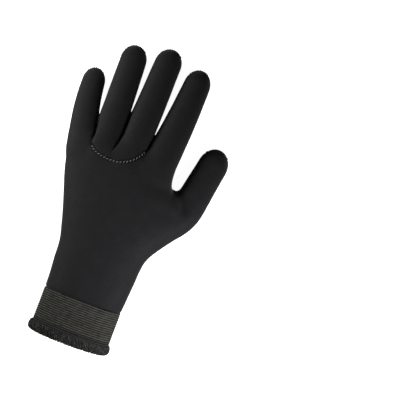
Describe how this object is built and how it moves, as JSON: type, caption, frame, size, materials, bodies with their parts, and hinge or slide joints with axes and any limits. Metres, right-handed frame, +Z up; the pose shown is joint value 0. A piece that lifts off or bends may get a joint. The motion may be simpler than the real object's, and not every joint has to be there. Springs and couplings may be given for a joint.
{
  "type": "diving glove",
  "caption": "Left-hand neoprene diving glove lying palm down, with a hexagon-dotted grip palm, an elastic wrist band, a bound hem and a hook-and-loop wrist tab; hollow and open at the cuff.",
  "frame": {"origin": "bottom centre of the glove's box, on the surface that it lies on", "axes": "+Z up from the surface, the back of the hand faces up; +Y from the cuff to the fingertips; +X towards the thumb"},
  "size_m": [0.1468, 0.2692, 0.0466],
  "materials": {
    "neoprene": "black neoprene faced with fine smooth nylon knit, matt with a soft sheen",
    "grip_palm": "black knit printed with small raised rubber dots in a honeycomb of hexagonal patches",
    "elastic": "dark olive grey woven elastic with fine ribs round the wrist",
    "binding": "near-black looped overlock binding, soft and matt",
    "loop_pile": "black loop pile, very matt",
    "strap": "dark grey woven strap with moulded hooks behind its end and stitched edges"
  },
  "bodies": {
    "root": {"back_panel": "neoprene", "finger_back_panel": "neoprene", "palm_panel": "grip_palm", "elastic_band": "elastic", "hem_binding": "binding", "loop_patch": "loop_pile", "closure_tab": "strap"}
  },
  "joints": []
}
